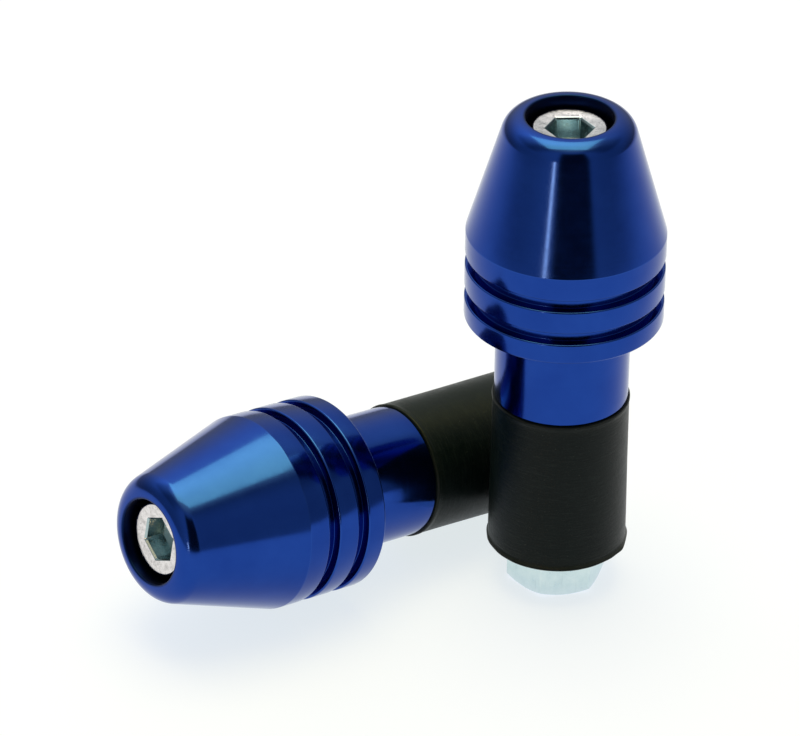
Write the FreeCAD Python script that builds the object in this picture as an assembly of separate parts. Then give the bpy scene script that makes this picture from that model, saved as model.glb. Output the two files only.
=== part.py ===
import FreeCAD, Part
import math
import os

# A pair of expanding handlebar end weights.  Each unit is a turned weight that
# closes the end of the bar, a rubber sleeve that sits inside the tube, a hex nut
# keyed into the sleeve's far end, and a socket cap screw through all of them.
# Turning the screw draws the nut towards the weight and the sleeve swells
# against the tube's wall.
#
# Millimetres, +Z up.  Every unit is drawn about its own axis with z = 0 on the
# nut's outer face and +z towards the nose.  One unit stands on its nut, the
# other lies on a flat surface.  The origin is on that surface, in the middle of
# the pair's footprint.

V = FreeCAD.Vector

# ---- heights along a unit's axis, from the nut's outer face ----
NUT_FACE_Z = 0.0          # outer face of the nut
SLEEVE_IN_Z = 6.25        # sleeve's inner end, where the nut comes out
NUT_TOP_Z = 10.0          # top of the nut, sunk in the sleeve's hex pocket
SHANK_END_Z = 29.30       # shank's end face, where the sleeve butts
SEAT_Z = 41.80            # shoulder that meets the tube's end
RING3_TOP_Z = 44.70
RING2_LOW_Z = 46.40
RING2_TOP_Z = 49.70
RING1_LOW_Z = 51.40
CONE_Z = 54.70            # where the cone starts
NOSE_Z = 71.90            # top of the nose
HEAD_SEAT_Z = 62.80       # bottom of the counterbore

# ---- weight ----
HEAD_R = 13.50            # three rings and the foot of the cone
GROOVE_R = 12.20          # floor of both grooves
CONE_HALF_ANGLE = 16.40   # degrees
NOSE_FILLET = 3.00        # big rounding between cone and nose
RIM_FILLET = 0.30         # rounding at the counterbore's mouth
SHANK_R = 9.15            # spigot that centres the weight in the tube
CBORE_R = 5.875           # counterbore for the screw's head
BORE_R = 3.25             # clearance hole for the screw
RING_EDGE = 0.25          # broken edges of the rings
SEAT_EDGE = 0.30          # edge of the shoulder
SHANK_EDGE = 0.30

# ---- cap screw, M6 x 60 ----
SCREW_R = 3.00
SCREW_LEN = 60.0          # under the head
HEAD_UNDER_Z = 64.40
HEAD_H = 6.00
HEAD_OD_R = 5.00
HEAD_EDGE = 0.45
SOCKET_AF = 5.50
SOCKET_DEPTH = 3.20
SOCKET_CONE = 0.90        # drill point under the socket
SOCKET_CHAMFER = 0.15
TIP_CHAMFER = 0.70
KNURL_TEETH = 48          # straight teeth round the head
KNURL_DEPTH = 0.10
KNURL_TOP = 0.75          # the teeth stop this far below the head's top
KNURL_FOOT = 0.40

# ---- spring lock washer under the head, 9.9 x 6.1 x 1.6 ----
WASHER_OD_R = 4.95
WASHER_ID_R = 3.08
WASHER_TOP_GAP = 0.02     # running gap under the head
WASHER_SPLIT = 1.00
WASHER_SPLIT_LEAN = 30.0  # degrees

# ---- rubber sleeve ----
SLEEVE_R = 9.40
SLEEVE_BORE_R = 3.35
SLEEVE_IN_EDGE = 0.50
SLEEVE_OUT_EDGE = 0.20
POCKET_PLAY = 0.20        # round the nut's flats
POCKET_END_PLAY = 0.10

# ---- nut ----
NUT_AF = 12.0
NUT_BORE_R = 3.05         # over the thread's crest, with running clearance
NUT_FACE_CHAMFER = 0.55   # how far the corners are taken down
NUT_MOUTH = 0.45          # countersink at both mouths

# ---- how the two units are set down ----
UPRIGHT_XY = (23.2195, -1.908)   # the standing unit's axis, from the origin
LYING_FROM_UPRIGHT = (0.187, 25.060)
LYING_HEADING = 219.0     # degrees, plan direction in which the nose points
UPRIGHT_SOCKET_TURN = 3.3
LYING_SOCKET_TURN = 26.0
UPRIGHT_NUT_TURN = 11.6
LYING_NUT_TURN = 20.0


def lathe(points):
    """Solid of revolution about Z.  Each point is (r, z, rounding)."""
    n = len(points)
    starts, ends, arcs = [], [], []
    for i in range(n):
        r, z, f = points[i]
        p = V(r, 0, z)
        a = V(points[i - 1][0], 0, points[i - 1][1])
        b = V(points[(i + 1) % n][0], 0, points[(i + 1) % n][1])
        if f <= 0:
            starts.append(p)
            ends.append(p)
            arcs.append(None)
            continue
        da = (a - p).normalize()
        db = (b - p).normalize()
        half = math.acos(max(-1.0, min(1.0, da.dot(db)))) / 2
        back = f / math.tan(half)
        s = p + da * back
        e = p + db * back
        mid_dir = (da + db).normalize()
        centre = p + mid_dir * (f / math.sin(half))
        starts.append(s)
        ends.append(e)
        arcs.append(Part.Arc(s, centre - mid_dir * f, e))
    edges = []
    for i in range(n):
        if arcs[i] is not None:
            edges.append(arcs[i].toShape())
        s, e = ends[i], starts[(i + 1) % n]
        if (e - s).Length > 1e-7:
            edges.append(Part.LineSegment(s, e).toShape())
    face = Part.Face(Part.Wire(edges))
    solid = face.revolve(V(0, 0, 0), V(0, 0, 1), 360)
    return solid if solid.ShapeType == "Solid" else solid.Solids[0]


def hexagon(af, z0, z1, turn):
    rc = af / math.sqrt(3)
    pts = [V(rc * math.cos(math.radians(turn + 60 * i)),
             rc * math.sin(math.radians(turn + 60 * i)), z0) for i in range(6)]
    wire = Part.makePolygon(pts + [pts[0]])
    return Part.Face(wire).extrude(V(0, 0, z1 - z0))


def end_weight():
    tan_a = math.tan(math.radians(CONE_HALF_ANGLE))
    nose_r = HEAD_R - (NOSE_Z - CONE_Z) * tan_a
    e = RING_EDGE
    return lathe([
        (BORE_R, SHANK_END_Z, 0.25),
        (SHANK_R, SHANK_END_Z, SHANK_EDGE),
        (SHANK_R, SEAT_Z, 0),
        (HEAD_R, SEAT_Z, SEAT_EDGE),
        (HEAD_R, RING3_TOP_Z, e),
        (GROOVE_R, RING3_TOP_Z, 0),
        (GROOVE_R, RING2_LOW_Z, 0),
        (HEAD_R, RING2_LOW_Z, e),
        (HEAD_R, RING2_TOP_Z, e),
        (GROOVE_R, RING2_TOP_Z, 0),
        (GROOVE_R, RING1_LOW_Z, 0),
        (HEAD_R, RING1_LOW_Z, e),
        (HEAD_R, CONE_Z, 0.6),
        (nose_r, NOSE_Z, NOSE_FILLET),
        (CBORE_R, NOSE_Z, RIM_FILLET),
        (CBORE_R, HEAD_SEAT_Z, 0.2),
        (BORE_R, HEAD_SEAT_Z, 0),
    ])


def cap_screw(turn):
    top = HEAD_UNDER_Z + HEAD_H
    tip = HEAD_UNDER_Z - SCREW_LEN
    body = lathe([
        (0, tip, 0),
        (SCREW_R - TIP_CHAMFER, tip, 0),
        (SCREW_R, tip + TIP_CHAMFER, 0),
        (SCREW_R, HEAD_UNDER_Z, 0),
        (HEAD_OD_R - 0.25, HEAD_UNDER_Z, 0),
        (HEAD_OD_R, HEAD_UNDER_Z + 0.25, 0),
        (HEAD_OD_R, top, HEAD_EDGE),
        (0, top, 0),
    ])
    floor = top - SOCKET_DEPTH
    socket = hexagon(SOCKET_AF, floor, top + 1.0, turn)
    rc = SOCKET_AF / math.sqrt(3)
    point = Part.makeCone(0.0, SOCKET_AF / 2 - 0.05, SOCKET_CONE,
                          V(0, 0, floor - SOCKET_CONE), V(0, 0, 1))
    mouth = Part.makeCone(rc - SOCKET_CHAMFER, rc + SOCKET_CHAMFER * 0.4,
                          SOCKET_CHAMFER * 1.1,
                          V(0, 0, top - SOCKET_CHAMFER), V(0, 0, 1))
    body = body.cut(socket.fuse([point]))
    body = body.cut(mouth)
    # straight knurl: shallow V cuts round the head
    cuts = []
    w = 2 * math.pi * HEAD_OD_R / KNURL_TEETH * 0.62
    z0 = HEAD_UNDER_Z + KNURL_FOOT
    z1 = top - KNURL_TOP
    tri = Part.makePolygon([V(HEAD_OD_R - KNURL_DEPTH, 0, z0),
                            V(HEAD_OD_R + 0.2, w / 2 * 3.0, z0),
                            V(HEAD_OD_R + 0.2, -w / 2 * 3.0, z0),
                            V(HEAD_OD_R - KNURL_DEPTH, 0, z0)])
    prism = Part.Face(tri).extrude(V(0, 0, z1 - z0))
    for i in range(KNURL_TEETH):
        c = prism.copy()
        c.rotate(V(0, 0, 0), V(0, 0, 1), 360.0 * i / KNURL_TEETH)
        cuts.append(c)
    body = body.cut(cuts)
    return body.Solids[0]


def lock_washer():
    top = HEAD_UNDER_Z - WASHER_TOP_GAP
    ring = lathe([
        (WASHER_ID_R, HEAD_SEAT_Z, 0),
        (WASHER_OD_R, HEAD_SEAT_Z, 0),
        (WASHER_OD_R, top, 0),
        (WASHER_ID_R, top, 0),
    ])
    # the split is a quarter turn from the ring's own seam line
    gap = Part.makeBox(4.0, WASHER_SPLIT, 6.0, V(2.2, -WASHER_SPLIT / 2, -3.0))
    gap.rotate(V(0, 0, 0), V(1, 0, 0), WASHER_SPLIT_LEAN)
    gap.rotate(V(0, 0, 0), V(0, 0, 1), 90.0)
    gap.translate(V(0, 0, (HEAD_SEAT_Z + top) / 2))
    return ring.cut(gap).Solids[0]


def sleeve(turn):
    body = lathe([
        (SLEEVE_BORE_R, SLEEVE_IN_Z, 0),
        (SLEEVE_R, SLEEVE_IN_Z, SLEEVE_IN_EDGE),
        (SLEEVE_R, SHANK_END_Z, SLEEVE_OUT_EDGE),
        (SLEEVE_BORE_R, SHANK_END_Z, 0),
    ])
    pocket = hexagon(NUT_AF + 2 * POCKET_PLAY, SLEEVE_IN_Z - 1.0,
                     NUT_TOP_Z + POCKET_END_PLAY, turn)
    return body.cut(pocket).Solids[0]


def hex_nut(turn):
    body = hexagon(NUT_AF, NUT_FACE_Z, NUT_TOP_Z, turn)
    rc = NUT_AF / math.sqrt(3)
    flat = NUT_AF / 2 * 0.97
    # 30 degree chamfers leave a round land on each face
    rise = (rc - flat) * math.tan(math.radians(30))
    hull = lathe([
        (0, NUT_FACE_Z, 0),
        (flat, NUT_FACE_Z, 0),
        (rc + 0.5, NUT_FACE_Z + rise + 0.5 * math.tan(math.radians(30)), 0),
        (rc + 0.5, NUT_TOP_Z - rise - 0.5 * math.tan(math.radians(30)), 0),
        (flat, NUT_TOP_Z, 0),
        (0, NUT_TOP_Z, 0),
    ])
    body = body.common(hull)
    bore = lathe([
        (0, NUT_FACE_Z - 1, 0),
        (NUT_BORE_R + NUT_MOUTH + 1, NUT_FACE_Z - 1, 0),
        (NUT_BORE_R, NUT_FACE_Z + NUT_MOUTH, 0),
        (NUT_BORE_R, NUT_TOP_Z - NUT_MOUTH, 0),
        (NUT_BORE_R + NUT_MOUTH + 1, NUT_TOP_Z + 1, 0),
        (0, NUT_TOP_Z + 1, 0),
    ])
    return body.cut(bore).Solids[0]


def lying_pose():
    """The unit comes to rest on the shoulder's edge and on the sleeve's inner
    edge, so its axis leans up towards the nose."""
    u1, v1, e1 = SEAT_Z + SEAT_EDGE, HEAD_R - SEAT_EDGE, SEAT_EDGE
    u2, v2, e2 = SLEEVE_IN_Z + SLEEVE_IN_EDGE, SLEEVE_R - SLEEVE_IN_EDGE, SLEEVE_IN_EDGE
    a, b, d = v1 - v2, u1 - u2, e2 - e1
    lean = math.acos(d / math.hypot(a, b)) - math.atan2(b, a)
    height = v1 * math.cos(lean) - u1 * math.sin(lean) + e1
    h = math.radians(LYING_HEADING)
    ax = V(math.cos(h) * math.cos(lean), math.sin(h) * math.cos(lean), math.sin(lean))
    side = V(-math.sin(h), math.cos(h), 0)
    up = ax.cross(side)
    if up.z < 0:
        up = up * -1
    ex = up.cross(ax)
    x = UPRIGHT_XY[0] + LYING_FROM_UPRIGHT[0]
    y = UPRIGHT_XY[1] + LYING_FROM_UPRIGHT[1]
    m = FreeCAD.Matrix(ex.x, up.x, ax.x, x,
                       ex.y, up.y, ax.y, y,
                       ex.z, up.z, ax.z, height,
                       0, 0, 0, 1)
    return FreeCAD.Placement(m)


def place(shape, placement):
    return shape.transformed(placement.toMatrix(), True)


def main():
    os.makedirs("parts", exist_ok=True)
    upright = FreeCAD.Placement(V(UPRIGHT_XY[0], UPRIGHT_XY[1], 0), FreeCAD.Rotation())
    lying = lying_pose()
    units = {
        "upright": (upright, UPRIGHT_SOCKET_TURN, UPRIGHT_NUT_TURN),
        "lying": (lying, LYING_SOCKET_TURN, LYING_NUT_TURN),
    }
    box = FreeCAD.BoundBox()
    for name, (pose, socket_turn, nut_turn) in units.items():
        pieces = {
            "end_weight": end_weight(),
            "cap_screw": cap_screw(socket_turn),
            "lock_washer": lock_washer(),
            "expander_sleeve": sleeve(nut_turn),
            "hex_nut": hex_nut(nut_turn),
        }
        for piece, shape in pieces.items():
            done = place(shape, pose)
            if not done.isValid() or done.ShapeType != "Solid":
                raise RuntimeError(piece + " is not one valid solid")
            done.exportStep("parts/%s_%s.step" % (piece, name))
            box.add(done.optimalBoundingBox(True, False))
            print(piece, name, "volume %.1f mm3" % done.Volume)
    m = lying.toMatrix()
    print("pair box", box)
    print("lying unit origin", m.A14, m.A24, m.A34, "axis", m.A13, m.A23, m.A33,
          "x", m.A11, m.A21, m.A31, "up", m.A12, m.A22, m.A32)


main()
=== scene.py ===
import math

import bpy
import numpy as np
from mathutils import Matrix, Vector


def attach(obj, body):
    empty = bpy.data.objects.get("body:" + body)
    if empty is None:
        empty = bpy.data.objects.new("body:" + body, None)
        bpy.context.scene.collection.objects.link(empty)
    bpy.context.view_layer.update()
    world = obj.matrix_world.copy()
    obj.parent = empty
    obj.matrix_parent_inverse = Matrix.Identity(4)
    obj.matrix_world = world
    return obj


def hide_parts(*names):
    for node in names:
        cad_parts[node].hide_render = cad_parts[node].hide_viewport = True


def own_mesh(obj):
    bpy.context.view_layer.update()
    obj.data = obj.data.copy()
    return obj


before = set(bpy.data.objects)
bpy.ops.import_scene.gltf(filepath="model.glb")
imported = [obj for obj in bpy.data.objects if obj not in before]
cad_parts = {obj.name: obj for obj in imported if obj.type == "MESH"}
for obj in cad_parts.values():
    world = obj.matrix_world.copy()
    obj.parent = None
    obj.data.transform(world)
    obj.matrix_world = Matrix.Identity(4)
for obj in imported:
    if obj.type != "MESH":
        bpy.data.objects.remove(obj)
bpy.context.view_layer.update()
MM = 0.001
rng = np.random.default_rng(7)

# ------------------------------------------------------------------ the units
# Local frame of a unit: z = 0 on the nut's outer face, +z towards the nose.
UPRIGHT = Matrix.Translation((0.0232195, -0.001908, 0.0))
EX = Vector((0.6293203910498377, -0.7771459614569707, 0.0))
UP = Vector((0.08950666275835334, 0.07248106636628471, 0.993345384214508))
AX = Vector((-0.7719743536742277, -0.6251325056414255, 0.11517355451548483))
LYING = Matrix(((EX.x, UP.x, AX.x, 0.0234065),
                (EX.y, UP.y, AX.y, 0.0231520),
                (EX.z, UP.z, AX.z, 0.00856335243),
                (0.0, 0.0, 0.0, 1.0)))

UNITS = {
    "upright": dict(pose=UPRIGHT, body="upright_unit",
                    screw="upright_screw", nut="upright_nut",
                    socket_turn=3.3, nut_turn=11.6),
    "lying": dict(pose=LYING, body="lying_unit",
                  screw="lying_screw", nut="lying_nut",
                  socket_turn=26.0, nut_turn=20.0),
}

# millimetres, the same numbers as the solids
SLEEVE_IN_Z, SHANK_END_Z, SEAT_Z = 6.25, 29.30, 41.80
NUT_TOP_Z, NOSE_Z, HEAD_SEAT_Z = 10.0, 71.90, 62.80
HEAD_UNDER_Z, HEAD_TOP_Z = 64.40, 70.40
TIP_Z = 4.40


# ------------------------------------------------------------- mesh utilities
def rounded(points, seg=7):
    """Polyline with rounded corners: points are (r, z, radius).  Returns a list
    of (r, z, edge) where edge is 1 on a rounding."""
    out = []
    n = len(points)
    for i in range(n):
        r, z, f = points[i][:3]
        p = np.array([r, z], float)
        if f <= 0:
            out.append((r, z, 0.35))
            continue
        a = np.array(points[i - 1][:2], float)
        b = np.array(points[(i + 1) % n][:2], float)
        da = (a - p) / np.linalg.norm(a - p)
        db = (b - p) / np.linalg.norm(b - p)
        half = math.acos(max(-1.0, min(1.0, float(da @ db)))) / 2
        back = f / math.tan(half)
        mid = (da + db) / np.linalg.norm(da + db)
        c = p + mid * (f / math.sin(half))
        s, e = p + da * back - c, p + db * back - c
        a0, a1 = math.atan2(s[1], s[0]), math.atan2(e[1], e[0])
        d = (a1 - a0 + math.pi) % (2 * math.pi) - math.pi
        k = seg if f < 1.5 else seg * 4
        for j in range(k + 1):
            t = a0 + d * j / k
            w = math.sin(math.pi * j / k) if f < 1.5 else 0.0
            out.append((c[0] + f * math.cos(t), c[1] + f * math.sin(t), w))
    return out


def divide(points, step):
    """Adds points along the long straight runs of a closed profile."""
    out = []
    n = len(points)
    for i in range(n):
        a, b = points[i], points[(i + 1) % n]
        out.append(a)
        d = math.hypot(b[0] - a[0], b[1] - a[1])
        k = int(d // step)
        for j in range(1, k + 1):
            t = j / (k + 1)
            out.append((a[0] + (b[0] - a[0]) * t, a[1] + (b[1] - a[1]) * t,
                        0.0))
    return out


def make_object(name, verts, faces, pose, edge=None, smooth_deg=28.0):
    mesh = bpy.data.meshes.new(name)
    local = np.asarray(verts, float) * MM
    m = np.array(pose)
    world = local @ m[:3, :3].T + m[:3, 3]
    world[:, 2] = np.maximum(world[:, 2], 0.0)      # rests on the table
    mesh.from_pydata([tuple(v) for v in world], [], faces)
    mesh.update()
    att = mesh.attributes.new("unit_pos", "FLOAT_VECTOR", "POINT")
    att.data.foreach_set("vector", local.astype(np.float32).ravel())
    if edge is not None:
        att = mesh.attributes.new("edge", "FLOAT", "POINT")
        att.data.foreach_set("value", np.asarray(edge, np.float32))
    mesh.polygons.foreach_set("use_smooth", [True] * len(mesh.polygons))
    mesh.set_sharp_from_angle(angle=math.radians(smooth_deg))
    obj = bpy.data.objects.new(name, mesh)
    bpy.context.collection.objects.link(obj)
    return obj


def ring_mesh(rings, n):
    """Closed surface from a closed loop of rings.  Each ring is n points
    (x, y, z), or a single point where the loop meets the axis."""
    verts, faces, start = [], [], []
    for ring in rings:
        start.append(len(verts))
        verts.extend(ring)
    m = len(rings)
    for i in range(m):
        j = (i + 1) % m
        a, b = rings[i], rings[j]
        sa, sb = start[i], start[j]
        if len(a) == 1 and len(b) == 1:
            continue
        for k in range(n):
            q = (k + 1) % n
            if len(a) == 1:
                faces.append((sa, sb + q, sb + k))
            elif len(b) == 1:
                faces.append((sa + k, sa + q, sb))
            else:
                faces.append((sa + k, sa + q, sb + q, sb + k))
    return verts, faces


def outward(obj):
    """Makes every face normal point out of the solid."""
    import bmesh
    bm = bmesh.new()
    bm.from_mesh(obj.data)
    bmesh.ops.recalc_face_normals(bm, faces=bm.faces)
    bm.to_mesh(obj.data)
    bm.free()
    obj.data.update()
    return obj


def lathe(name, profile, pose, n=256, turn=0.0, smooth_deg=28.0):
    ang = [math.radians(turn) + 2 * math.pi * k / n for k in range(n)]
    cs = [(math.cos(a), math.sin(a)) for a in ang]
    rings, edge = [], []
    for r, z, w in profile:
        if r < 1e-9:
            rings.append([(0.0, 0.0, z)])
            edge.append(w)
        else:
            rings.append([(r * c, r * s, z) for c, s in cs])
            edge.extend([w] * n)
    verts, faces = ring_mesh(rings, n)
    return outward(make_object(name, verts, faces, pose, edge, smooth_deg))


def rounded_hex(af, turn, corner, per_corner=7, per_flat=7):
    """Outline of a hexagon with rounded corners, as (x, y) points."""
    rc = af / math.sqrt(3)
    pts = []
    corners = [np.array([rc * math.cos(math.radians(turn + 60 * i)),
                         rc * math.sin(math.radians(turn + 60 * i))])
               for i in range(6)]
    for i in range(6):
        p, a, b = corners[i], corners[i - 1], corners[(i + 1) % 6]
        da = (a - p) / np.linalg.norm(a - p)
        db = (b - p) / np.linalg.norm(b - p)
        back = corner / math.tan(math.radians(60))
        s, e = p + da * back, p + db * back
        mid = (da + db) / np.linalg.norm(da + db)
        c = p + mid * (corner / math.sin(math.radians(60)))
        a0 = math.atan2(*(s - c)[::-1])
        a1 = math.atan2(*(e - c)[::-1])
        d = (a1 - a0 + math.pi) % (2 * math.pi) - math.pi
        for j in range(per_corner):
            t = a0 + d * j / (per_corner - 1)
            pts.append(c + corner * np.array([math.cos(t), math.sin(t)]))
        nxt = corners[(i + 1) % 6]
        s2 = nxt + (p - nxt) / np.linalg.norm(p - nxt) * back
        for j in range(1, per_flat + 1):
            t = j / (per_flat + 1)
            pts.append(e + (s2 - e) * t)
    return [(float(p[0]), float(p[1])) for p in pts]


def scaled_to(outline, r):
    """The outline's directions at a fixed radius."""
    return [(x / math.hypot(x, y) * r, y / math.hypot(x, y) * r)
            for x, y in outline]


# ------------------------------------------------------------------ materials
def new_material(name):
    mat = bpy.data.materials.new(name)
    mat.use_nodes = True
    nt = mat.node_tree
    nt.nodes.clear()
    out = nt.nodes.new("ShaderNodeOutputMaterial")
    bsdf = nt.nodes.new("ShaderNodeBsdfPrincipled")
    nt.links.new(bsdf.outputs["BSDF"], out.inputs["Surface"])
    return mat, nt, bsdf


def node(nt, kind, links=None, **props):
    nd = nt.nodes.new(kind)
    for k, v in props.items():
        if k.startswith("in_"):
            key = k[3:]
            nd.inputs[int(key) if key.isdigit() else key].default_value = v
        else:
            setattr(nd, k, v)
    for sock, src in (links or {}).items():
        nt.links.new(src, nd.inputs[sock])
    return nd


def math_node(nt, op, a, b=None, c=None, clamp=False):
    nd = nt.nodes.new("ShaderNodeMath")
    nd.operation = op
    nd.use_clamp = clamp
    for i, v in enumerate((a, b, c)):
        if v is None:
            continue
        if isinstance(v, (int, float)):
            nd.inputs[i].default_value = v
        else:
            nt.links.new(v, nd.inputs[i])
    return nd.outputs[0]


def map_range(nt, v, a, b, lo=0.0, hi=1.0, kind="SMOOTHSTEP"):
    nd = nt.nodes.new("ShaderNodeMapRange")
    nd.interpolation_type = kind
    nt.links.new(v, nd.inputs["Value"])
    nd.inputs["From Min"].default_value = a
    nd.inputs["From Max"].default_value = b
    nd.inputs["To Min"].default_value = lo
    nd.inputs["To Max"].default_value = hi
    return nd.outputs["Result"]


def noise(nt, vec, scale, detail=3.0, rough=0.55, dist=0.0):
    nd = nt.nodes.new("ShaderNodeTexNoise")
    nd.inputs["Scale"].default_value = scale
    nd.inputs["Detail"].default_value = detail
    nd.inputs["Roughness"].default_value = rough
    nd.inputs["Distortion"].default_value = dist
    nt.links.new(vec, nd.inputs["Vector"])
    return nd.outputs["Fac"]


def ramp(nt, fac, stops):
    nd = nt.nodes.new("ShaderNodeValToRGB")
    nt.links.new(fac, nd.inputs["Fac"])
    el = nd.color_ramp.elements
    while len(el) < len(stops):
        el.new(0.5)
    for e, (p, c) in zip(el, stops):
        e.position = p
        e.color = (*c, 1.0)
    return nd.outputs["Color"]


def mix_colour(nt, fac, a, b, mode="MIX"):
    nd = nt.nodes.new("ShaderNodeMix")
    nd.data_type = "RGBA"
    nd.blend_type = mode
    for sock, v in ((0, fac), (6, a), (7, b)):
        if isinstance(v, (int, float)):
            nd.inputs[sock].default_value = v
        elif isinstance(v, tuple):
            nd.inputs[sock].default_value = (*v, 1.0) if len(v) == 3 else v
        else:
            nt.links.new(v, nd.inputs[sock])
    return nd.outputs[2]


def turned_coords(nt):
    """Object position, and (radius, height) coordinates about the unit's axis."""
    pos = node(nt, "ShaderNodeAttribute", attribute_name="unit_pos").outputs["Vector"]
    sep = node(nt, "ShaderNodeSeparateXYZ", {0: pos})
    x, y, z = sep.outputs
    r = math_node(nt, "SQRT", math_node(nt, "ADD", math_node(nt, "MULTIPLY", x, x),
                                        math_node(nt, "MULTIPLY", y, y)))
    rz = node(nt, "ShaderNodeCombineXYZ", {0: r, 2: z})
    return pos, rz.outputs[0], r, z


def bump(nt, height, strength, distance, normal=None):
    nd = nt.nodes.new("ShaderNodeBump")
    nd.inputs["Strength"].default_value = strength
    nd.inputs["Distance"].default_value = distance
    nt.links.new(height, nd.inputs["Height"])
    if normal is not None:
        nt.links.new(normal, nd.inputs["Normal"])
    return nd.outputs["Normal"]


def anodised_blue():
    mat, nt, bsdf = new_material("anodised_blue")
    obj, rz, r, z = turned_coords(nt)
    edge = node(nt, "ShaderNodeAttribute", attribute_name="edge").outputs["Fac"]
    # dye depth: faint cloudiness, and a little paler on the broken edges
    cloud = noise(nt, obj, 140.0, 4.0, 0.6)
    base = ramp(nt, cloud, [(0.30, (0.0118, 0.0455, 0.268)),
                            (0.70, (0.0150, 0.0560, 0.305))])
    wear_and_bore_shade = mix_colour(nt, math_node(nt, "MULTIPLY", edge, 0.18), base,
                      (0.045, 0.13, 0.46))
    # painted shade: the counterbore round the screw head, including the inner
    # rounding of its rim, is coloured dark navy as a shaded recess; it is made
    # rougher too
    painted_bore_shade = math_node(nt, "MULTIPLY", map_range(nt, r, 0.00595, 0.00640, 1.0, 0.0),
                     map_range(nt, z, 0.0620, 0.0626, 0.0, 1.0))
    # painted shade laid over the edge wear: the counterbore mask darkens the colour
    wear_and_bore_shade = mix_colour(nt, math_node(nt, "MULTIPLY", painted_bore_shade, 0.85), wear_and_bore_shade,
                      (0.0012, 0.0028, 0.0110))
    nt.links.new(wear_and_bore_shade, bsdf.inputs["Base Color"])
    bsdf.inputs["Metallic"].default_value = 1.0
    # polish: soft haze with fine turning lines round the axis
    lines = noise(nt, rz, 5200.0, 3.0, 0.7)
    haze = noise(nt, obj, 420.0, 5.0, 0.65)
    rough = math_node(nt, "ADD",
                      map_range(nt, haze, 0.3, 0.7, 0.120, 0.170, "LINEAR"),
                      map_range(nt, lines, 0.35, 0.75, -0.015, 0.03, "LINEAR"))
    rough = math_node(nt, "ADD", rough, math_node(nt, "MULTIPLY", painted_bore_shade, 0.22))
    nt.links.new(rough, bsdf.inputs["Roughness"])
    n1 = bump(nt, lines, 0.10, 0.000012)
    n2 = bump(nt, haze, 0.08, 0.00002, n1)
    nt.links.new(n2, bsdf.inputs["Normal"])
    bsdf.inputs["Anisotropic"].default_value = 0.0
    return mat


def bright_zinc(name="bright_zinc", tint=(0.75, 0.72, 0.72), rough0=0.16):
    mat, nt, bsdf = new_material(name)
    obj, rz, r, z = turned_coords(nt)
    # painted shade: the socket's walls and bottom are coloured darker and bluer, as a
    # shaded recess
    socket_shade = math_node(nt, "MULTIPLY", map_range(nt, r, 0.00350, 0.00358, 1.0, 0.0),
                       math_node(nt, "MULTIPLY",
                                 map_range(nt, z, 0.0655, 0.0662, 0.0, 1.0),
                                 map_range(nt, z, 0.07018, 0.07022, 1.0, 0.0)))
    edge = node(nt, "ShaderNodeAttribute", attribute_name="edge").outputs["Fac"]
    mott = noise(nt, obj, 900.0, 5.0, 0.65)
    spot = noise(nt, obj, 2600.0, 2.0, 0.5)
    dark = tuple(c * 0.62 for c in tint)
    base = ramp(nt, mott, [(0.30, dark), (0.55, tint),
                           (0.75, tuple(min(1.0, c * 1.15) for c in tint))])
    pits = map_range(nt, spot, 0.58, 0.68, 0.0, 0.6)
    base = mix_colour(nt, pits, base, tuple(c * 0.55 for c in tint))
    base = mix_colour(nt, math_node(nt, "MULTIPLY", edge, 0.4), base,
                      (0.90, 0.89, 0.89))
    # painted shade inside the hex socket
    base = mix_colour(nt, socket_shade, base, (0.40, 0.51, 0.53))
    nt.links.new(base, bsdf.inputs["Base Color"])
    bsdf.inputs["Metallic"].default_value = 1.0
    nt.links.new(map_range(nt, mott, 0.3, 0.75, rough0, rough0 + 0.14, "LINEAR"),
                 bsdf.inputs["Roughness"])
    nt.links.new(bump(nt, mott, 0.35, 0.00004,
                      bump(nt, spot, 0.25, 0.00002)), bsdf.inputs["Normal"])
    return mat


def pale_zinc_nut():
    mat, nt, bsdf = new_material("pale_zinc_nut")
    obj, rz, r, z = turned_coords(nt)
    edge = node(nt, "ShaderNodeAttribute", attribute_name="edge").outputs["Fac"]
    mott = noise(nt, obj, 700.0, 5.0, 0.6)
    drag = noise(nt, node(nt, "ShaderNodeMapping",
                          {0: obj}, in_3=(1.0, 1.0, 0.06)).outputs[0],
                 2600.0, 3.0, 0.6)
    base = ramp(nt, mott, [(0.25, (0.60, 0.74, 0.76)), (0.55, (0.70, 0.83, 0.84)),
                           (0.85, (0.78, 0.89, 0.89))])
    base = mix_colour(nt, map_range(nt, drag, 0.55, 0.8, 0.0, 0.3), base,
                      (0.40, 0.50, 0.53))
    base = mix_colour(nt, math_node(nt, "MULTIPLY", edge, 0.5), base,
                      (0.86, 0.92, 0.93))
    nt.links.new(base, bsdf.inputs["Base Color"])
    bsdf.inputs["Metallic"].default_value = 1.0
    nt.links.new(map_range(nt, mott, 0.3, 0.75, 0.26, 0.42, "LINEAR"),
                 bsdf.inputs["Roughness"])
    nt.links.new(bump(nt, drag, 0.25, 0.00003, bump(nt, mott, 0.3, 0.00004)),
                 bsdf.inputs["Normal"])
    return mat


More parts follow.
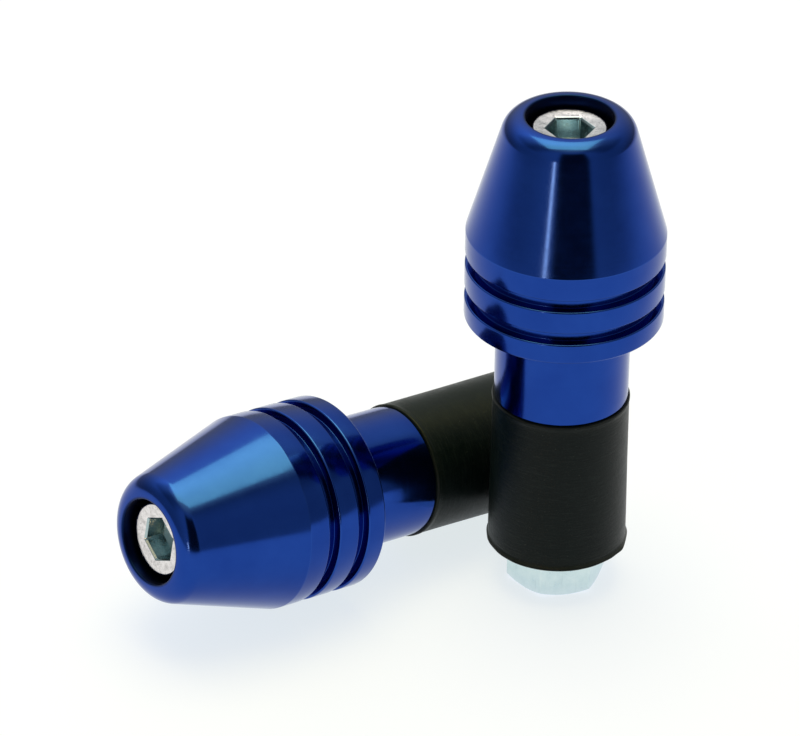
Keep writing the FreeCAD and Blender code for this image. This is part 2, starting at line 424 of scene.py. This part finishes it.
def black_rubber():
    mat, nt, bsdf = new_material("black_rubber")
    obj, rz, r, z = turned_coords(nt)
    edge = node(nt, "ShaderNodeAttribute", attribute_name="edge").outputs["Fac"]
    grain = noise(nt, obj, 5200.0, 4.0, 0.65)
    cloud = noise(nt, obj, 160.0, 4.0, 0.6)
    dust = noise(nt, obj, 3400.0, 2.0, 0.5)
    # fine lines round the sleeve, left by the mould
    drawn = noise(nt, node(nt, "ShaderNodeMapping", {0: obj},
                           in_3=(0.10, 0.10, 1.0)).outputs[0],
                  4200.0, 3.0, 0.65)
    base = ramp(nt, cloud, [(0.30, (0.0008, 0.0036, 0.0036)),
                            (0.70, (0.0024, 0.0062, 0.0058))])
    base = mix_colour(nt, map_range(nt, drawn, 0.50, 0.70, 0.0, 0.55), base,
                      (0.0095, 0.0150, 0.0140))
    base = mix_colour(nt, map_range(nt, grain, 0.52, 0.68, 0.0, 0.55), base,
                      (0.0100, 0.0160, 0.0145))
    base = mix_colour(nt, map_range(nt, dust, 0.68, 0.78, 0.0, 0.50), base,
                      (0.050, 0.052, 0.044))
    # painted highlight: the rounded lip at the inner end is coloured as a pale olive
    # line where it catches the light; the other rounded edges get a trace of it
    lip_highlight = math_node(nt, "MULTIPLY", edge,
                         map_range(nt, z, 0.0068, 0.0072, 0.9, 0.12))
    base = mix_colour(nt, lip_highlight, base, (0.115, 0.108, 0.066))
    nt.links.new(base, bsdf.inputs["Base Color"])
    rough = math_node(nt, "ADD", map_range(nt, cloud, 0.3, 0.7, 0.34, 0.42,
                                           "LINEAR"),
                      map_range(nt, drawn, 0.35, 0.70, -0.03, 0.05, "LINEAR"))
    nt.links.new(rough, bsdf.inputs["Roughness"])
    bsdf.inputs["Specular IOR Level"].default_value = 0.11
    nt.links.new(bump(nt, drawn, 0.8, 0.00006,
                      bump(nt, cloud, 0.25, 0.00012,
                           bump(nt, grain, 0.6, 0.00006))),
                 bsdf.inputs["Normal"])
    return mat


def pale_floor():
    """A white table top that glows: painted light, brightest under the pair and
    falling off outwards, which fills in the shadows.
    """
    mat, nt, bsdf = new_material("pale_floor")
    tc = nt.nodes.new("ShaderNodeTexCoord")
    n = noise(nt, tc.outputs["Object"], 30.0, 2.0, 0.5)
    nt.links.new(ramp(nt, n, [(0.3, (0.215, 0.195, 0.285)),
                              (0.7, (0.225, 0.205, 0.295))]),
                 bsdf.inputs["Base Color"])
    bsdf.inputs["Roughness"].default_value = 0.6
    bsdf.inputs["Specular IOR Level"].default_value = 0.10
    away = node(nt, "ShaderNodeVectorMath", {0: tc.outputs["Object"]},
                operation="LENGTH").outputs["Value"]
    # painted light: the table's own emission, strongest under the pair
    glow = map_range(nt, away, 0.15, 1.0, 1.0, 0.35)
    bsdf.inputs["Emission Color"].default_value = (0.72, 0.775, 0.79, 1.0)
    nt.links.new(glow, bsdf.inputs["Emission Strength"])
    return mat


MAT = {
    "weight": anodised_blue(),
    "screw": bright_zinc(),
    "washer": bright_zinc("spring_steel", (0.55, 0.55, 0.54), 0.30),
    "sleeve": black_rubber(),
    "nut": pale_zinc_nut(),
}


# -------------------------------------------------------------------- weights
def weight_profile():
    a = math.radians(16.40)
    nose_r = 13.5 - (NOSE_Z - 54.70) * math.tan(a)
    return divide(rounded([
        (3.25, SHANK_END_Z, 0.25),
        (9.15, SHANK_END_Z, 0.30),
        (9.15, SEAT_Z, 0.10),
        (13.5, SEAT_Z, 0.30),
        (13.5, 44.70, 0.25),
        (12.2, 44.70, 0.08),
        (12.2, 46.40, 0.08),
        (13.5, 46.40, 0.25),
        (13.5, 49.70, 0.25),
        (12.2, 49.70, 0.08),
        (12.2, 51.40, 0.08),
        (13.5, 51.40, 0.25),
        (13.5, 54.70, 0.60),
        (nose_r, NOSE_Z, 3.00),
        (5.875, NOSE_Z, 0.30),
        (5.875, HEAD_SEAT_Z, 0.20),
        (3.25, HEAD_SEAT_Z, 0.0),
    ]), 1.6)


# ---------------------------------------------------------------------- screw
def thread_wave(z, ang, pitch=1.0):
    """0 at a root, 1 at a crest, for a right-hand thread."""
    t = (z / pitch - ang / (2 * math.pi)) % 1.0
    tri = 1.0 - abs(2.0 * t - 1.0)
    return min(1.0, max(0.0, (tri - 0.10) / 0.78))


def screw(unit, pose, turn):
    """Socket cap screw: knurled head, hex socket, plain shank, rolled thread."""
    n = 288
    ang = [2 * math.pi * k / n for k in range(n)]
    teeth = 48
    rings, edge = [], []

    def add(radius, z, w):
        rings.append([(radius(t, z) * math.cos(t), radius(t, z) * math.sin(t),
                       z) for t in ang])
        edge.extend([w] * n)

    # tip and rolled thread, up to 20 mm above the tip
    rings.append([(0.0, 0.0, TIP_Z)])
    edge.append(0.0)
    thread_top = TIP_Z + 20.0

    def threaded(t, z):
        fade = min(1.0, max(0.0, (z - TIP_Z) / 0.9))
        out = min(1.0, max(0.0, (thread_top - z) / 1.2))
        depth = 0.58 * out
        crest = 3.0 - 0.75 * (1 - fade)
        return min(crest, 3.0 - depth * (1 - thread_wave(z, t)))

    z = TIP_Z
    add(lambda t, z: 2.05, TIP_Z, 0.3)
    k = 0
    while z < thread_top + 0.05:
        z = TIP_Z + 0.02 + k * 0.1
        add(threaded, z, 0.1)
        k += 1
    for z in (30.0, 40.0, 50.0, 58.0, 63.0):
        add(lambda t, z: 3.0, z, 0.0)
    add(lambda t, z: 3.0, HEAD_UNDER_Z - 0.02, 0.2)
    add(lambda t, z: 3.02, HEAD_UNDER_Z, 0.2)
    add(lambda t, z: 4.70, HEAD_UNDER_Z, 0.2)
    add(lambda t, z: 4.90, HEAD_UNDER_Z + 0.10, 0.6)

    def tooth(t):
        u = (t / (2 * math.pi) * teeth) % 1.0
        return 1.0 - abs(2.0 * u - 1.0)

    def knurled(t, z):
        fade = (min(1.0, max(0.0, (z - HEAD_UNDER_Z - 0.30) / 0.35))
                * min(1.0, max(0.0, (HEAD_TOP_Z - 0.26 - z) / 0.16)))
        return 4.995 - 0.17 * fade * (1 - tooth(t) ** 0.8)

    for z in (64.62, 64.70, 64.85, 65.05, 66.0, 67.0, 68.0, 69.0, 69.6, 69.85,
              69.98, 70.06, 70.14):
        add(knurled, z, 0.25)
    for j in range(1, 9):
        t = math.radians(90.0 * j / 8)
        add(lambda a, z, t=t: 4.995 - 0.26 + 0.26 * math.cos(t),
            HEAD_TOP_Z - 0.26 + 0.26 * math.sin(t), math.sin(math.pi * j / 8))
    # the forged face is dished a little towards the socket
    for rr in (4.62, 4.50, 4.35, 4.20, 4.05, 3.90, 3.75, 3.62):
        add(lambda t, z, rr=rr: rr,
            HEAD_TOP_Z - 0.15 * ((4.735 - rr) / 1.115) ** 1.25, 0.0)
    # hex socket: the mouth is chamfered, then six flats, then a drill point
    af = 5.5

    def hexr(t, half, corner=0.10):
        a = (t - math.radians(turn)) % math.radians(60) - math.radians(30)
        r = half / math.cos(a)
        return min(r, (half / math.cos(math.radians(30))) - corner
                   * (1 - abs(abs(a) - math.radians(30)) / math.radians(6))
                   if abs(abs(a) - math.radians(30)) < math.radians(6) else r)

    add(lambda t, z: hexr(t, af / 2 + 0.24, 0.05), HEAD_TOP_Z - 0.185, 0.2)
    add(lambda t, z: hexr(t, af / 2 + 0.16, 0.05), HEAD_TOP_Z - 0.235, 0.3)
    add(lambda t, z: hexr(t, af / 2), HEAD_TOP_Z - 0.48, 0.1)
    for z in (HEAD_TOP_Z - 0.8, HEAD_TOP_Z - 1.6, HEAD_TOP_Z - 2.4,
              HEAD_TOP_Z - 3.0):
        add(lambda t, z: hexr(t, af / 2), z, 0.0)
    add(lambda t, z: hexr(t, af / 2 - 0.03), HEAD_TOP_Z - 3.18, 0.0)
    add(lambda t, z: af / 2 - 0.25, HEAD_TOP_Z - 3.22, 0.0)
    add(lambda t, z: 1.2, HEAD_TOP_Z - 3.72, 0.0)
    rings.append([(0.0, 0.0, HEAD_TOP_Z - 4.08)])
    edge.append(0.0)
    verts, faces = ring_mesh(rings, n)
    # ring_mesh joins the last ring to the first: both are points on the axis
    return outward(make_object("cap_screw_%s_fine" % unit, verts, faces, pose,
                               edge, 24.0))


# ------------------------------------------------------------------------ nut
def nut(unit, pose, turn):
    af = 12.0
    outline = rounded_hex(af, turn, 0.35, 9, 15)
    n = len(outline)
    rad = [math.hypot(x, y) for x, y in outline]
    flat = af / 2 * 0.97
    slope = math.tan(math.radians(30))
    rings, edge = [], []

    def add(fr, fz, w):
        ring = []
        for i, (x, y) in enumerate(outline):
            r = fr(i)
            ring.append((x / rad[i] * r, y / rad[i] * r, fz(i)))
        rings.append(ring)
        edge.extend([w] * n)

    def ang(i):
        return math.atan2(outline[i][1], outline[i][0])

    rise = [max(0.02, (r - flat) * slope) for r in rad]
    add(lambda i: flat - 0.06, lambda i: 0.0, 0.0)
    add(lambda i: flat + 0.02, lambda i: 0.02, 0.6)
    add(lambda i: rad[i] - 0.05, lambda i: max(0.03, rise[i] - 0.04), 0.3)
    add(lambda i: rad[i], lambda i: rise[i] + 0.06, 0.7)
    for z in (1.5, 3.0, 4.5, 6.0, 7.5):
        add(lambda i: rad[i], lambda i, z=z: z, 0.0)
    add(lambda i: rad[i], lambda i: NUT_TOP_Z - rise[i] - 0.06, 0.5)
    add(lambda i: rad[i] - 0.05, lambda i: NUT_TOP_Z - rise[i] + 0.02, 0.5)
    add(lambda i: flat, lambda i: NUT_TOP_Z, 0.2)
    add(lambda i: 3.50, lambda i: NUT_TOP_Z, 0.0)
    # tapped bore, in step with the screw's thread
    z = NUT_TOP_Z - 0.02
    k = 0
    while z > 0.03:
        z = NUT_TOP_Z - 0.02 - 0.1 * k
        if z < 0.03:
            break
        open_ = max(0.0, 1 - z / 0.55) + max(0.0, 1 - (NUT_TOP_Z - z) / 0.55)

        def painted_bore_shade(i, z=z, open_=open_):
            r = 3.06 - 0.50 * (1 - thread_wave(z, ang(i)))
            return max(r, 2.62 + 0.85 * min(1.0, open_))
        add(painted_bore_shade, lambda i, z=z: z, 0.1)
        k += 1
    add(lambda i: 3.50, lambda i: 0.0, 0.2)
    add(lambda i: 4.60, lambda i: 0.0, 0.0)
    verts, faces = ring_mesh(rings, n)
    return outward(make_object("hex_nut_%s_fine" % unit, verts, faces, pose,
                               edge, 24.0))


# --------------------------------------------------------------------- sleeve
def sleeve(unit, pose, turn, seed):
    outline = rounded_hex(12.16, turn, 0.30, 7, 33)
    n = len(outline)
    rad = [math.hypot(x, y) for x, y in outline]
    ang = [math.atan2(y, x) for x, y in outline]
    r0 = np.random.default_rng(seed)
    ph = r0.uniform(0, 2 * math.pi, 8)
    rings, edge = [], []

    def wob(t, z):
        """Moulded rubber isn't quite round: hundredths of a millimetre."""
        return (0.018 * math.sin(2 * t + ph[0] + z * 0.10)
                + 0.012 * math.sin(3 * t + ph[1] - z * 0.16)
                + 0.008 * math.sin(7 * t + ph[2] + z * 0.41))

    def parting(t):
        d = min(abs((t - ph[3] + math.pi) % (2 * math.pi) - math.pi),
                abs((t - ph[3] + 2 * math.pi) % (2 * math.pi) - math.pi))
        return math.exp(-(d / 0.014) ** 2)

    def add(fr, fz, w):
        ring = []
        for i in range(n):
            r, z = fr(i), fz(i)
            ring.append((math.cos(ang[i]) * r, math.sin(ang[i]) * r, z))
        rings.append(ring)
        edge.extend([w] * n)

    def outer(r, z, w):
        add(lambda i: r + wob(ang[i], z) + 0.035 * parting(ang[i]),
            lambda i: z, w)

    def body_r(z):
        """Swells a little towards the nut, with a thin lip at each end."""
        t = min(1.0, max(0.0, (SHANK_END_Z - z) / (SHANK_END_Z - 7.4)))
        near = math.exp(-((z - SLEEVE_IN_Z - 0.20) / 0.42) ** 2)
        far = math.exp(-((SHANK_END_Z - 0.25 - z) / 0.38) ** 2)
        return 9.34 + 0.16 * t ** 1.4 + 0.22 * near + 0.10 * far

    def lip(i):
        t = ang[i]
        return (0.05 * math.sin(t * 3 + ph[4]) + 0.035 * math.sin(t * 8 + ph[5])
                + 0.03 * math.sin(t * 17 + ph[6]))

    # a torn bit of flash on the lip
    flash_at = math.radians(-24.0 if unit == "upright" else 60.0)

    def flash(i):
        d = (ang[i] - flash_at + math.pi) % (2 * math.pi) - math.pi
        return math.exp(-(d / 0.10) ** 2)

    # outer end, against the spigot
    add(lambda i: 3.4, lambda i: SHANK_END_Z, 0.0)
    add(lambda i: 8.6, lambda i: SHANK_END_Z, 0.0)
    for j in range(6):
        t = math.radians(90 - 90 * j / 5)
        add(lambda i, t=t: body_r(SHANK_END_Z) - 0.16 + 0.16 * math.cos(t)
            + wob(ang[i], SHANK_END_Z) + 0.5 * lip(i) * math.cos(t),
            lambda i, t=t: SHANK_END_Z - 0.16 + 0.16 * math.sin(t), 0.4)
    for z in (SHANK_END_Z - 0.30, SHANK_END_Z - 0.45, SHANK_END_Z - 0.60,
              SHANK_END_Z - 0.80, SHANK_END_Z - 1.1):
        add(lambda i, z=z: body_r(z) + wob(ang[i], z) + 0.035 * parting(ang[i])
            + 0.5 * lip(i) * max(0.0, 1 - (SHANK_END_Z - z) / 0.8),
            lambda i, z=z: z, 0.1)
    z = SHANK_END_Z - 1.7
    while z > 8.3:
        outer(body_r(z), z, 0.0)
        z -= 0.7
    # the inner end: a low moulded lip, then a rounded, slightly uneven edge
    for z in (8.0, 7.75, 7.5, 7.3, 7.12, 6.96, 6.82, 6.70):
        add(lambda i, z=z: body_r(z) + wob(ang[i], z) + 0.035 * parting(ang[i])
            + (lip(i) * 0.8 + 0.13 * flash(i)) * max(0.0, 1 - (z - 6.4) / 1.2)
            - 0.03 * math.exp(-((z - 7.15) / 0.14) ** 2),
            lambda i, z=z: z - 0.12 * flash(i) * max(0.0, 1 - (z - 6.4) / 0.9),
            0.1)
    for j in range(8):
        t = math.radians(90 * j / 7)
        add(lambda i, t=t: body_r(6.5) - 0.26 + 0.26 * math.cos(t)
            + wob(ang[i], 6.5) + (lip(i) * 0.8 + 0.13 * flash(i)) * math.cos(t),
            lambda i, t=t: SLEEVE_IN_Z + 0.30 - 0.28 * math.sin(t)
            + 0.4 * abs(lip(i)) * math.cos(t) - 0.12 * flash(i),
            (0.0, 0.0, 0.1, 0.5, 0.9, 1.0, 0.8, 0.3)[j])
    add(lambda i: 8.4, lambda i: SLEEVE_IN_Z + 0.02, 0.0)
    add(lambda i: 7.75, lambda i: SLEEVE_IN_Z + 0.015, 0.0)
    # mouth of the hex pocket round the nut
    add(lambda i: rad[i] + 0.18, lambda i: SLEEVE_IN_Z + 0.03, 0.2)
    add(lambda i: rad[i] + 0.04, lambda i: SLEEVE_IN_Z + 0.10, 0.4)
    add(lambda i: rad[i], lambda i: SLEEVE_IN_Z + 0.30, 0.0)
    # the pocket is deep enough for the nut when the sleeve is squeezed short
    add(lambda i: rad[i], lambda i: NUT_TOP_Z + 0.84, 0.0)
    add(lambda i: 3.4, lambda i: NUT_TOP_Z + 0.87, 0.0)
    for z in (14.0, 19.0, 24.0):
        add(lambda i: 3.4, lambda i, z=z: z, 0.0)
    verts, faces = ring_mesh(rings, n)
    return outward(make_object("expander_sleeve_%s_fine" % unit, verts, faces,
                               pose, edge, 35.0))


# --------------------------------------------------------------------- washer
def washer(unit, pose):
    """Split spring washer: one turn of square wire, its ends cut at a slant."""
    section = rounded([(3.08, 62.80, 0.14), (4.95, 62.80, 0.14),
                       (4.95, 64.38, 0.14), (3.08, 64.38, 0.14)], 4)
    lean = math.radians(30.0)
    mid = (62.80 + 64.38) / 2
    steps = 180
    verts, faces, edge = [], [], []
    m = len(section)
    for k in range(steps + 1):
        t = k / steps
        for r, z, w in section:
            a0 = math.asin((0.5 - (z - mid) * math.sin(lean))
                           / math.cos(lean) / r)
            a1 = math.asin((-0.5 - (z - mid) * math.sin(lean))
                           / math.cos(lean) / r) + 2 * math.pi
            a = a0 + (a1 - a0) * t + math.pi / 2
            verts.append((r * math.cos(a), r * math.sin(a), z))
            edge.append(1.0 if k in (0, steps) else w)
    for k in range(steps):
        for i in range(m):
            j = (i + 1) % m
            faces.append((k * m + i, k * m + j, (k + 1) * m + j,
                          (k + 1) * m + i))
    faces.append(tuple(range(m)))
    faces.append(tuple(steps * m + i for i in range(m)))
    return outward(make_object("lock_washer_%s_fine" % unit, verts, faces,
                               pose, edge, 30.0))


# ---------------------------------------------------------------- build units
def give(obj, key):
    obj.data.materials.clear()
    obj.data.materials.append(MAT[key])


steel, others = [], []
for unit, u in UNITS.items():
    pose = u["pose"]
    w = lathe("end_weight_%s_fine" % unit, weight_profile(), pose, 288)
    give(w, "weight")
    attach(w, u["body"])
    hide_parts("end_weight_" + unit)

    s = screw(unit, pose, u["socket_turn"])
    give(s, "screw")
    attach(s, u["screw"])
    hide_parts("cap_screw_" + unit)

    h = nut(unit, pose, u["nut_turn"])
    give(h, "nut")
    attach(h, u["nut"])
    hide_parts("hex_nut_" + unit)

    e = sleeve(unit, pose, u["nut_turn"], 11 if unit == "upright" else 23)
    give(e, "sleeve")
    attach(e, u["body"])
    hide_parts("expander_sleeve_" + unit)
    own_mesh(e)

    k = washer(unit, pose)
    give(k, "washer")
    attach(k, u["body"])
    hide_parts("lock_washer_" + unit)
    steel += [s, h, k]
    others += [w, e]

# ---------------------------------------------------------------------- floor
bpy.ops.mesh.primitive_plane_add(size=2.4, location=(0, 0, 0))
floor = bpy.context.object
floor.name = "floor"
floor.data.materials.append(pale_floor())
others.append(floor)

# --------------------------------------------------------------------- lights
world = bpy.data.worlds.new("studio")
bpy.context.scene.world = world
world.use_nodes = True
wt = world.node_tree
wt.nodes.clear()
out = wt.nodes.new("ShaderNodeOutputWorld")
bg = wt.nodes.new("ShaderNodeBackground")
wt.links.new(bg.outputs[0], out.inputs[0])
tc = wt.nodes.new("ShaderNodeTexCoord")
sep = node(wt, "ShaderNodeSeparateXYZ", {0: tc.outputs["Generated"]})
dx, dy, dz = sep.outputs
az = math_node(wt, "ARCTAN2", dx, math_node(wt, "MULTIPLY", dy, -1.0))
left = map_range(wt, dx, -1.0, -0.3, 0.34, 0.54)
right_ = map_range(wt, dx, 0.1, 1.0, 0.0, -0.22)
side_lr = math_node(wt, "ADD", left, right_)
behind = map_range(wt, dy, -0.15, 0.35)
back = math_node(wt, "MULTIPLY", map_range(wt, dz, 0.20, 0.85, 0.0, 0.56),
                 math_node(wt, "MULTIPLY", behind,
                           map_range(wt, dx, -0.40, 0.40, 1.5, 0.45)))
low_back = math_node(wt, "MULTIPLY", map_range(wt, dz, 0.0, 0.30, 0.40, 0.0),
                     behind)
side_lr = math_node(wt, "MULTIPLY", side_lr,
                    math_node(wt, "SUBTRACT", 1.0, low_back))
side_lr = math_node(wt, "MULTIPLY", side_lr,
                    map_range(wt, dz, 0.80, 0.95, 1.0, 0.5))
top = math_node(wt, "ADD", map_range(wt, dz, 0.84, 0.96, 0.0, 0.8),
                math_node(wt, "MULTIPLY", map_range(wt, dz, 0.62, 0.86, 0.0, 0.18),
                          behind))
dark = math_node(wt, "MULTIPLY",
                 map_range(wt, math_node(wt, "ABSOLUTE",
                                         math_node(wt, "SUBTRACT", az, 0.12)),
                           0.36, 0.50, 1.0, 0.0),
                 map_range(wt, dz, 0.74, 0.86, 1.0, 0.0))
streak = math_node(wt, "MULTIPLY",
                   map_range(wt, math_node(wt, "ABSOLUTE",
                                           math_node(wt, "ADD", az, 0.415)),
                             0.013, 0.033, 1.0, 0.0),
                   map_range(wt, dz, 0.10, 0.16, 1.0, 0.0))
level = math_node(wt, "MULTIPLY", math_node(wt, "ADD", side_lr, back),
                  math_node(wt, "SUBTRACT", 1.0,
                            math_node(wt, "MULTIPLY", dark, 0.94)))
# the walls are dim where they meet the ceiling, beside the pair
cove = math_node(wt, "MULTIPLY",
                 math_node(wt, "MULTIPLY", map_range(wt, dz, 0.45, 0.62, 0.0, 1.0),
                           map_range(wt, dz, 0.84, 0.92, 1.0, 0.0)),
                 map_range(wt, math_node(wt, "ABSOLUTE", dy), 0.25, 0.55, 0.45, 0.0))
level = math_node(wt, "MULTIPLY", level, math_node(wt, "SUBTRACT", 1.0, cove))
walls = node(wt, "ShaderNodeVectorMath", {3: level}, in_0=(0.95, 1.0, 1.0),
             operation="SCALE")
lift = math_node(wt, "MULTIPLY", top,
                 math_node(wt, "SUBTRACT", 1.0,
                           math_node(wt, "MULTIPLY", dark, 0.94)))
ceiling = node(wt, "ShaderNodeVectorMath", {3: lift}, in_0=(1.9, 1.2, 0.45),
               operation="SCALE")
strip = node(wt, "ShaderNodeVectorMath", {3: streak}, in_0=(24.0, 10.5, 3.9),
             operation="SCALE")
scaled = node(wt, "ShaderNodeVectorMath",
              {0: walls.outputs[0],
               1: node(wt, "ShaderNodeVectorMath",
                       {0: ceiling.outputs[0], 1: strip.outputs[0]},
                       operation="ADD").outputs[0]}, operation="ADD")
lp = wt.nodes.new("ShaderNodeLightPath")
shown = mix_colour(wt, lp.outputs["Is Camera Ray"], scaled.outputs[0],
                   (0.93, 0.94, 0.95))
wt.links.new(shown, bg.inputs["Color"])
bg.inputs["Strength"].default_value = 1.0


def soft_light(name, centre, size, target, radiance, colour):
    data = bpy.data.lights.new(name, "AREA")
    data.shape = "RECTANGLE"
    data.size, data.size_y = size
    data.energy = radiance * math.pi * size[0] * size[1]
    data.color = colour
    obj = bpy.data.objects.new(name, data)
    bpy.context.collection.objects.link(obj)
    obj.location = centre
    d = Vector(target) - Vector(centre)
    obj.rotation_euler = d.to_track_quat("-Z", "Y").to_euler()
    obj.visible_camera = False
    return obj


def lights_only(lamp, objects):
    """The lamp lights these objects and no others."""
    col = bpy.data.collections.new(lamp.name + "_lights")
    for o in objects:
        col.objects.link(o)
    lamp.light_linking.receiver_collection = col


# One soft box overhead.  It is warm for the dyed metal, the rubber and the
# table, and neutral for the plated steel, which would show its tint.
PLACE = (0.0, 0.10, 0.62), (0.46, 0.50), (0.0, 0.10, 0.0)
lights_only(soft_light("overhead_softbox", *PLACE, 3.75, (0.93, 0.97, 0.29)),
            others)
lights_only(soft_light("overhead_softbox_steel", *PLACE, 3.0, (0.96, 0.97, 1.0)),
            steel)

# --------------------------------------------------------------------- camera
cam_data = bpy.data.cameras.new("camera")
cam = bpy.data.objects.new("camera", cam_data)
bpy.context.collection.objects.link(cam)
bpy.context.scene.camera = cam
FOCAL_PX = 5340.5
cam_data.sensor_width = 36.0
cam_data.lens = FOCAL_PX * 36.0 / 800.0
cam_data.clip_start, cam_data.clip_end = 0.05, 20.0
pitch, roll = math.radians(31.255), math.radians(0.854)
right0 = Vector((1, 0, 0))
fwd = Vector((0, math.cos(pitch), -math.sin(pitch)))
up0 = right0.cross(fwd)
right = right0 * math.cos(roll) + up0 * math.sin(roll)
up = up0 * math.cos(roll) - right0 * math.sin(roll)
k = 13.5 / 14.0 * MM
base = UNITS["upright"]["pose"].translation
pos = base + Vector((-22.636 * k - 0.00012, -642.791 * k + 0.00015, 423.924 * k))
cam.matrix_world = Matrix((
    (right.x, up.x, -fwd.x, pos.x),
    (right.y, up.y, -fwd.y, pos.y),
    (right.z, up.z, -fwd.z, pos.z),
    (0, 0, 0, 1)))

bpy.context.scene.view_settings.view_transform = "Standard"
bpy.context.scene.view_settings.look = "None"

bpy.context.view_layer.update()
